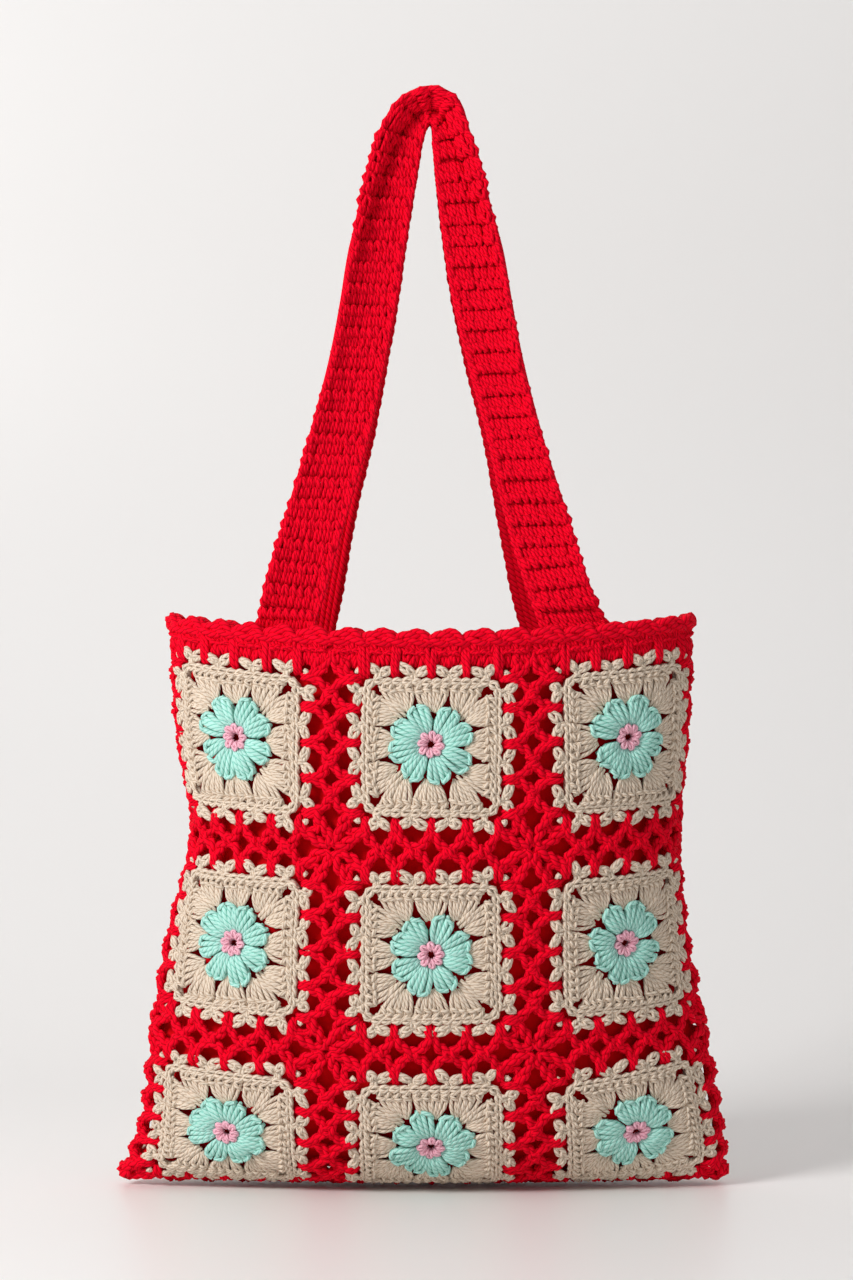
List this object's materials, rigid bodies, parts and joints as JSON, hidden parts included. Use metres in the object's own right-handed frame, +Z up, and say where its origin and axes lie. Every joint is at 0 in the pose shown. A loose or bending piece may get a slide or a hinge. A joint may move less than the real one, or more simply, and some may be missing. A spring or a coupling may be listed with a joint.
{
  "type": "crochet bag",
  "caption": "Crocheted shoulder bag of granny squares joined by an open net, with a shell border, a cloth lining and two long crocheted handles.",
  "frame": {"origin": "the underside of the two handles' peak, where the bag hangs", "axes": "+Z up, the bag's front faces -Y, +X to the viewer's right"},
  "size_m": [0.3666, 0.1544, 0.6562],
  "materials": {
    "yarn_red": "crocheted acrylic yarn, matt",
    "yarn_cream": "crocheted acrylic yarn, matt",
    "yarn_mint": "crocheted acrylic yarn, matt",
    "yarn_pink": "crocheted acrylic yarn, matt",
    "lining_red": "plain woven lining cloth, slightly satin"
  },
  "bodies": {
    "root": {"square_front_1_1": "yarn_cream", "square_front_1_2": "yarn_cream", "square_front_1_3": "yarn_cream", "square_front_2_1": "yarn_cream", "square_front_2_2": "yarn_cream", "square_front_2_3": "yarn_cream", "square_front_3_1": "yarn_cream", "square_front_3_2": "yarn_cream", "square_front_3_3": "yarn_cream", "square_back_1_1": "yarn_cream", "square_back_1_2": "yarn_cream", "square_back_1_3": "yarn_cream", "square_back_2_1": "yarn_cream", "square_back_2_2": "yarn_cream", "square_back_2_3": "yarn_cream", "square_back_3_1": "yarn_cream", "square_back_3_2": "yarn_cream", "square_back_3_3": "yarn_cream", "petals_front_1_1": "yarn_mint", "petals_front_1_2": "yarn_mint", "petals_front_1_3": "yarn_mint", "petals_front_2_1": "yarn_mint", "petals_front_2_2": "yarn_mint", "petals_front_2_3": "yarn_mint", "petals_front_3_1": "yarn_mint", "petals_front_3_2": "yarn_mint", "petals_front_3_3": "yarn_mint", "petals_back_1_1": "yarn_mint", "petals_back_1_2": "yarn_mint", "petals_back_1_3": "yarn_mint", "petals_back_2_1": "yarn_mint", "petals_back_2_2": "yarn_mint", "petals_back_2_3": "yarn_mint", "petals_back_3_1": "yarn_mint", "petals_back_3_2": "yarn_mint", "petals_back_3_3": "yarn_mint", "centre_front_1_1": "yarn_pink", "centre_front_1_2": "yarn_pink", "centre_front_1_3": "yarn_pink", "centre_front_2_1": "yarn_pink", "centre_front_2_2": "yarn_pink", "centre_front_2_3": "yarn_pink", "centre_front_3_1": "yarn_pink", "centre_front_3_2": "yarn_pink", "centre_front_3_3": "yarn_pink", "centre_back_1_1": "yarn_pink", "centre_back_1_2": "yarn_pink", "centre_back_1_3": "yarn_pink", "centre_back_2_1": "yarn_pink", "centre_back_2_2": "yarn_pink", "centre_back_2_3": "yarn_pink", "centre_back_3_1": "yarn_pink", "centre_back_3_2": "yarn_pink", "centre_back_3_3": "yarn_pink", "joining_net": "yarn_red", "rim_border": "yarn_red", "handle_front": "yarn_red", "handle_back": "yarn_red", "lining": "lining_red"}
  },
  "joints": []
}
